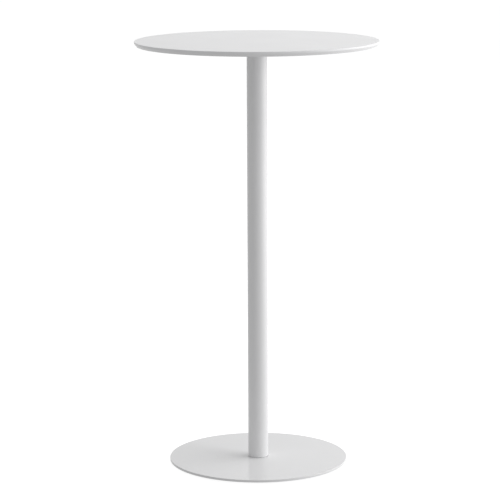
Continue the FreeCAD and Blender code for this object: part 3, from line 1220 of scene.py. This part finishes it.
@dataclass
class BaseSet(SubAssembly):
    """The flat disc at the column's foot, and the bolt that holds the two together."""

    glide_places: Sequence[Vector]
    upper_arris: Rounding = Rounding(0.8 * MM, steps=4)
    lower_arris: Rounding = Rounding(0.8 * MM, steps=3)
    stud_hole: float = 4.1 * MM
    stud_room: float = 0.5 * MM
    joint: PlugJoint = PlugJoint()
    segments: int = 288
    bolt_head: float = 10 * MM
    bolt_radius: float = 5 * MM
    bolt_rim: float = 0.35 * MM
    bolt_taper: float = 1 * MM
    bolt_segments: int = 96
    socket: HexagonSocket = HexagonSocket(across_flats=6 * MM, depth=4 * MM)
    edge_break: Rounding = Rounding(0.15 * MM, steps=2)

    def model_disc(self) -> Piece:
        """Models the disc with its holes.

        Returns:
            The disc.
        """
        low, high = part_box("base_plate")
        disc = turn_plate("base_disc", "base_plate", self.lower_arris, self.upper_arris, self.segments)
        stud_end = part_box("glide_stud_1")[1].z + self.stud_room
        studs = drill_tool(self.stud_hole, low.z - OVERCUT, stud_end, self.glide_places)
        combine(disc, join_pieces([studs, *self.joint.tools(low.z, high.z)]), Joining.CUT)
        shade(disc)
        return disc

    def model_bolt(self) -> Piece:
        """Models the countersunk bolt with its socket downwards.

        Returns:
            The bolt.
        """
        low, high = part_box("base_bolt")
        stations = [
            (0, low.z),
            (self.bolt_head - self.bolt_rim, low.z),
            (self.bolt_head - self.bolt_rim, low.z + self.bolt_rim),
            (self.bolt_radius, low.z + self.bolt_head - self.bolt_radius),
            (self.bolt_radius, high.z - self.bolt_taper),
            (self.bolt_radius - self.bolt_taper, high.z),
            (0, high.z),
        ]
        segments = self.bolt_segments
        return turn_fastener("base_bolt_turned", stations, segments, self.socket, self.edge_break)

    def build(self) -> Pieces:
        """Models the disc and its bolt, by their nodes."""
        return {"base_plate": self.model_disc(), "base_bolt": self.model_bolt()}

    def coats(self, finishes: Finishes) -> Dict[str, Finish]:
        """Coats the disc. The fasteners are zinc plated."""
        return {
            "base_plate": finishes.smooth_coat,
            "base_bolt": finishes.turned_zinc,
            "base_dowels": finishes.drawn_zinc,
        }


@dataclass
class GlideSet(SubAssembly):
    """The levelling glides under the base: moulded feet, and threaded studs that turn in them."""

    count: int = 4
    rim_easing: Rounding = Rounding(0.7 * MM, steps=4)
    sole_recess: float = 0.3 * MM
    recess_radius: float = 9 * MM
    sole: float = 1.2 * MM
    lip: float = 0.8 * MM
    lip_easing: Rounding = Rounding(0.25 * MM, steps=3)
    mouth: float = 6.07 * MM
    cup: float = 7.8 * MM
    foot_segments: int = 96
    flange_radius: float = 7.5 * MM
    flange_thickness: float = 1 * MM
    flange_segments: int = 64
    collar: float = 10 * MM
    collar_taper: float = 0.45 * MM
    collar_chamfer: float = math.radians(30)
    collar_inset: float = 0.12 * MM
    collar_segments: int = 96
    crest: float = 4 * MM
    pitch: float = 1.25 * MM
    thread_depth: float = 0.77 * MM
    flank_slope: float = 1.35  # against a plain zigzag's, so that the root is flat
    crest_flat: float = 0.1  # share of the depth that is taken off, so that the crest is flat
    thread_rings: int = 72
    thread_segments: int = 48

    def numbers(self) -> Sequence[int]:
        """The glides' numbers, which their nodes' names end with."""
        return range(1, self.count + 1)

    def places(self) -> List[Vector]:
        """Where the glides' axes are.

        Returns:
            The places, at level zero.
        """
        middles = []
        for number in self.numbers():
            low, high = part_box(f"glide_pad_{number}")
            middles.append(Vector(((low.x + high.x) / 2, (low.y + high.y) / 2, 0)))
        return middles

    def model_foot(self) -> Piece:
        """Models a foot on the Z axis: a shallow cup with a lip, hollowed a little under its sole.

        Returns:
            The foot.
        """
        low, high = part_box("glide_pad_1")
        radius = (high.x - low.x) / 2
        lip_under = high.z - self.lip
        lower = (radius, low.z)
        upper = (radius, high.z)
        inner = (self.mouth, high.z)
        hollow = low.z + self.sole_recess
        stations = [
            (0, hollow),
            (self.recess_radius, hollow),
            (self.recess_radius + self.sole_recess, low.z),
            lower,
            upper,
            inner,
            (self.mouth, lip_under),
            (self.cup, lip_under),
            (self.cup, self.sole),
            (0, self.sole),
        ]
        foot = turn_piece("foot_model", stations, self.foot_segments)
        round_rings(foot, {lower: self.rim_easing, upper: self.rim_easing, inner: self.lip_easing})
        shade(foot)
        return foot

    def groove(self, place: Vector) -> float:
        """How deep the thread's groove is at a place on the stud.

        Args:
            place: A place measured from the stud's axis.

        Returns:
            The depth: 0 on the flat crest, and the thread's whole depth on the flat root.
        """
        turns = place.z / self.pitch - math.atan2(place.y, place.x) / math.tau
        towards_root = 1 - abs((turns % 1) * 2 - 1)
        share = self.flank_slope * towards_root - self.crest_flat
        return self.thread_depth * min(1, max(0, share))

    def model_thread(self, low: float, high: float) -> Piece:
        """Models the stud's threaded shank on the Z axis.

        Args:
            low: Level of its lower end.
            high: Level of its tip.

        Returns:
            The shank.
        """
        steps = range(self.thread_rings + 1)
        rings = [(self.crest, low + (high - low) * step / self.thread_rings) for step in steps]
        shank = turn_piece("thread", [(0, low), *rings, (0, high)], self.thread_segments)
        for vertex in shank.data.vertices:
            reach = math.hypot(vertex.co.x, vertex.co.y)
            if reach < self.crest / 2:
                continue  # the poles at the two ends stay on the axis
            chamfer = self.crest - self.thread_depth + max(0, high - vertex.co.z)
            scale = min(self.crest - self.groove(vertex.co), chamfer) / reach
            vertex.co.x *= scale
            vertex.co.y *= scale
        return shank

    def model_collar(self, low: float, high: float) -> Piece:
        """Models the spanner collar on the Z axis: a hexagon whose upper corners are turned off.

        Args:
            low: Level of its lower end.
            high: Level of its upper face.

        Returns:
            The collar.
        """
        inscribed = self.collar / 2
        outside = inscribed / math.cos(math.pi / HEXAGON) + OVERCUT
        shoulder = high - self.collar_taper - OVERCUT * math.tan(self.collar_chamfer)
        stations = [
            (0, low - OVERCUT),
            (outside, low - OVERCUT),
            (outside, shoulder),
            (inscribed - self.collar_inset, high),
            (0, high),
        ]
        collar = hexagon_bar(self.collar, low, high)
        combine(collar, turn_piece("barrel", stations, self.collar_segments), Joining.KEEP_COMMON)
        return collar

    def model_stud(self) -> Piece:
        """Models a stud on the Z axis: a flange, a spanner collar and a threaded shank.

        Returns:
            The stud.
        """
        low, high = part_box("glide_stud_1")
        flange_top = low.z + self.flange_thickness
        collar_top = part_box("base_plate")[0].z
        overlap = self.flange_thickness / 2
        radius = self.flange_radius
        stations = [(0, low.z), (radius, low.z), (radius, flange_top), (0, flange_top)]
        stud = turn_piece("stud_model", stations, self.flange_segments)
        combine(stud, self.model_collar(low.z + overlap, collar_top), Joining.WELD)
        combine(stud, self.model_thread(collar_top - overlap, high.z), Joining.WELD)
        turn_outwards(stud)
        shade(stud)
        note_own_place(stud)
        return stud

    def build(self) -> Pieces:
        """Models one glide and copies it to every place.

        Returns:
            The feet and studs, by their nodes.
        """
        foot = self.model_foot()
        stud = self.model_stud()
        pieces = {}
        for number, place in zip(self.numbers(), self.places()):
            pieces[f"glide_pad_{number}"] = make_copy(foot, f"foot_cup_{number}", place, 0)
            pieces[f"glide_stud_{number}"] = make_copy(stud, f"threaded_stud_{number}", place, 0)
        bpy.data.objects.remove(foot)
        bpy.data.objects.remove(stud)
        return pieces

    def coats(self, finishes: Finishes) -> Dict[str, Finish]:
        """Moulds the feet of nylon. The studs are zinc plated."""
        kinds = {"glide_pad": finishes.nylon, "glide_stud": finishes.turned_zinc}
        return {f"{kind}_{number}": kinds[kind] for number in self.numbers() for kind in kinds}


# Studio and camera.


@dataclass(frozen=True)
class SoftBox:
    """A rectangular lamp that faces the table. Azimuth 0 is in front of it and 90 on its right."""

    name: str
    azimuth: float
    elevation: float
    distance: float
    width: float
    height: float
    power: float

    def hang(self, aim: Vector) -> None:
        """Hangs the lamp so that it faces a point.

        Args:
            aim: The point that it faces.
        """
        azimuth = math.radians(self.azimuth)
        elevation = math.radians(self.elevation)
        level = math.cos(elevation)
        towards = Vector((math.sin(azimuth) * level, -math.cos(azimuth) * level, math.sin(elevation)))
        lamp = bpy.data.lights.new(self.name, "AREA")
        lamp.shape = "RECTANGLE"
        lamp.size = self.width
        lamp.size_y = self.height
        lamp.energy = self.power
        holder = bpy.data.objects.new(self.name, lamp)
        holder.location = aim + towards * self.distance
        holder.rotation_euler = towards.to_track_quat("Z", "Y").to_euler()
        bpy.context.scene.collection.objects.link(holder)
        log.info("lamp %s hung", self.name)


@dataclass
class Studio:
    """A plain white floor under an even dome of light, with large soft lamps.

    The floor lights the table with its bounce and fill, and where it is seen it has its colour and glow.
    """

    floor_width: float = 160
    floor_drop: float = 0.2 * MM
    floor_bounce: Colour = (0.22, 0.22, 0.22)
    floor_fill: float = 0.29
    floor_colour: Colour = (0.35, 0.35, 0.35)
    floor_glow: float = 0.86
    dome_colour: Colour = (1.0, 1.0, 1.0)
    dome_light: float = 0.495
    dome_seen: float = 1.0
    lamps: Tuple[SoftBox, ...] = (
        SoftBox("side_lamp", azimuth=90, elevation=9, distance=3.2, width=3.8, height=1.9, power=70),
        SoftBox("high_lamp", azimuth=95, elevation=50, distance=3.2, width=3.7, height=1.2, power=26),
        SoftBox("back_lamp", azimuth=145, elevation=30, distance=3.6, width=2.0, height=1.5, power=8),
        SoftBox("top_lamp", azimuth=0, elevation=88, distance=3.0, width=2.5, height=2.5, power=8),
    )

    def seen_directly(self, board: NodeBoard) -> Output:
        """Tells rays that show the background from rays that light the table.

        Args:
            board: Nodes of the floor's material or of the world.

        Returns:
            An output that is 1 for camera, glossy and transmission rays.
        """
        path = board.add("ShaderNodeLightPath").outputs
        mirrored = board.either_of(path["Is Glossy Ray"], path["Is Transmission Ray"])
        return board.either_of(path["Is Camera Ray"], mirrored)

    def paint_floor(self) -> bpy.types.Material:
        """Makes the floor's material, which shows only its upper side.

        Returns:
            The material.
        """
        material = bpy.data.materials.new("white_floor")
        material.cycles.emission_sampling = "NONE"  # an even glow, so rays find it by themselves
        board = NodeBoard(material)
        bounce = board.add("ShaderNodeBsdfDiffuse", {"Color": opaque(self.floor_bounce)})
        fill = board.add("ShaderNodeEmission", {"Strength": self.floor_fill})
        face = board.add("ShaderNodeBsdfDiffuse", {"Color": opaque(self.floor_colour)})
        glow = board.add("ShaderNodeEmission", {"Strength": self.floor_glow})
        clear = board.add("ShaderNodeBsdfTransparent")
        seen = self.seen_directly(board)
        upper_side = board.switch(seen, board.both(bounce, fill), board.both(face, glow))
        from_below = board.add("ShaderNodeNewGeometry").outputs["Backfacing"]
        one_sided = board.switch(from_below, upper_side, clear)
        board.add("ShaderNodeOutputMaterial", {"Surface": one_sided.outputs[0]})
        return material

    def lay_floor(self) -> None:
        """Lays the floor just under the feet: white where it is seen, with the table's shadow on it."""
        bpy.ops.object.select_all(action="DESELECT")
        bpy.ops.mesh.primitive_plane_add(size=self.floor_width, location=(0, 0, -self.floor_drop))
        floor = bpy.context.active_object
        floor.name = "floor"
        bpy.ops.object.transform_apply(location=True, rotation=True, scale=True)
        floor.data.materials.append(self.paint_floor())

    def light_dome(self) -> None:
        """Makes the world an even soft light that is white where it is seen."""
        world = bpy.data.worlds.new("studio_dome")
        board = NodeBoard(world)
        colour = opaque(self.dome_colour)
        light = board.add("ShaderNodeBackground", {"Color": colour, "Strength": self.dome_light})
        white = board.add("ShaderNodeBackground", {"Color": colour, "Strength": self.dome_seen})
        either = board.switch(self.seen_directly(board), light, white)
        board.add("ShaderNodeOutputWorld", {"Surface": either.outputs[0]})
        bpy.context.scene.world = world

    def build(self) -> None:
        """Lays the floor and sets up the light."""
        low, high = cad_bounds
        self.lay_floor()
        self.light_dome()
        for lamp in self.lamps:
            lamp.hang((low + high) / 2)
        bpy.context.scene.view_settings.view_transform = "Standard"


@dataclass(frozen=True)
class PhotoCamera:
    """The camera, at the photograph's viewing angle. Angles are in degrees."""

    distance: float = 5.492
    height: float = 1.5476
    pitch: float = 10.404
    yaw: float = -0.196
    roll: float = -0.25
    focal_length: float = 2246.4  # in pixels of the photograph
    image_width: float = 500  # in pixels

    def set_up(self) -> None:
        """Makes the camera and hands it to the scene."""
        pitch = math.radians(self.pitch)
        yaw = math.radians(self.yaw)
        roll = math.radians(self.roll)
        level = math.cos(pitch)
        forward = Vector((math.sin(yaw) * level, math.cos(yaw) * level, -math.sin(pitch)))
        right = Vector((math.cos(yaw), -math.sin(yaw), 0))
        up = right.cross(forward)
        side = right * math.cos(roll) + up * math.sin(roll)
        head = up * math.cos(roll) - right * math.sin(roll)
        turned = Matrix((side, head, -forward)).transposed()
        lens = bpy.data.cameras.new("photo_camera")
        lens.lens = self.focal_length / self.image_width * lens.sensor_width
        camera = bpy.data.objects.new("photo_camera", lens)
        camera.matrix_world = Matrix.Translation((0, -self.distance, self.height)) @ turned.to_4x4()
        bpy.context.scene.collection.objects.link(camera)
        bpy.context.scene.camera = camera


def main() -> None:
    """Builds and dresses the sub-assemblies in order, then sets up the studio and the camera."""
    logging.basicConfig(level=logging.INFO, format="%(name)s: %(message)s")
    finishes = Finishes.build(Effects.build())
    flange = FlangeSet()
    glides = GlideSet()
    for part in (TopPanel(flange.screw_places()), flange, Column(), BaseSet(glides.places()), glides):
        part.dress(part.build(), finishes)
    Studio().build()
    PhotoCamera().set_up()


if __name__ == "__main__":
    main()
